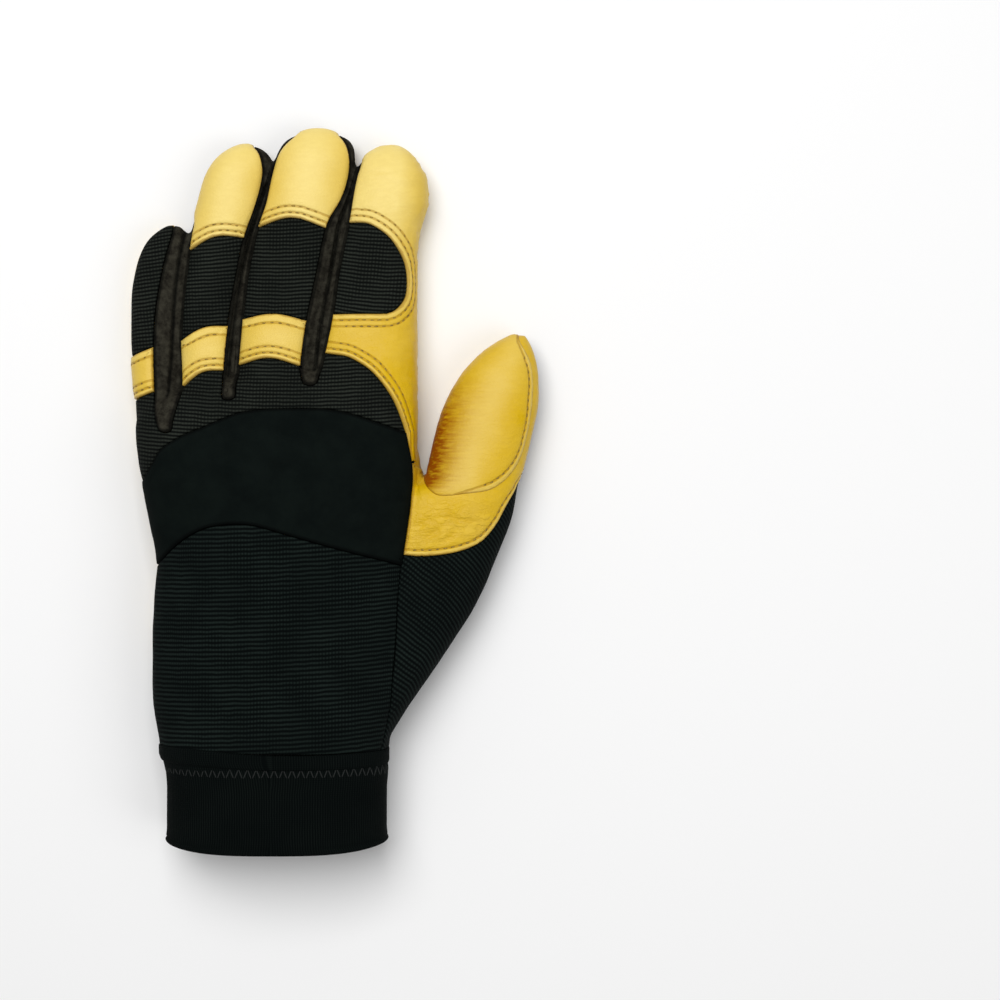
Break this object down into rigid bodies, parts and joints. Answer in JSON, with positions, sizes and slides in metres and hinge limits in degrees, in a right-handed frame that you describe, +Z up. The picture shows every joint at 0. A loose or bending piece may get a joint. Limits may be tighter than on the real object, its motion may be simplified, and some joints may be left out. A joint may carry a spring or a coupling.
{
  "type": "safety glove",
  "caption": "Left-hand work glove lying palm down: golden leather palm and straps, ribbed black knit back, knuckle pad, elastic cuff and wrist tab.",
  "frame": {"origin": "centre of the glove's footprint on the surface that it lies on", "axes": "+Y from the cuff to the fingertips, +X towards the thumb, +Z up from the palm side to the back of the hand"},
  "size_m": [0.1433, 0.2498, 0.0376],
  "materials": {
    "leather": "golden grain leather, soft sheen",
    "finger_knit": "fine ribbed black knit, matte",
    "hand_knit": "ribbed black knit, matte",
    "neoprene": "smooth matte black neoprene with a jersey face",
    "microsuede": "charcoal microsuede, matte",
    "elastic": "woven black elastic with fine upright ribs",
    "synthetic_leather": "black synthetic leather, low sheen"
  },
  "bodies": {
    "root": {"palm_leather": "leather", "web_leather": "leather", "thumb_leather": "leather", "fingertip_cap_middle": "leather", "fingertip_cap_ring": "leather", "knuckle_strap_middle": "leather", "knuckle_strap_ring": "leather", "knuckle_strap_little": "leather", "finger_knit_index": "finger_knit", "finger_knit_middle": "finger_knit", "finger_knit_ring": "finger_knit", "finger_knit_little": "finger_knit", "fourchette_middle_index": "microsuede", "fourchette_ring_middle": "microsuede", "fourchette_little_ring": "microsuede", "knuckle_knit": "finger_knit", "knuckle_pad": "neoprene", "back_knit": "hand_knit", "side_knit": "hand_knit", "wrist_gusset": "neoprene", "cuff_band": "elastic", "wrist_tab": "synthetic_leather"}
  },
  "joints": []
}
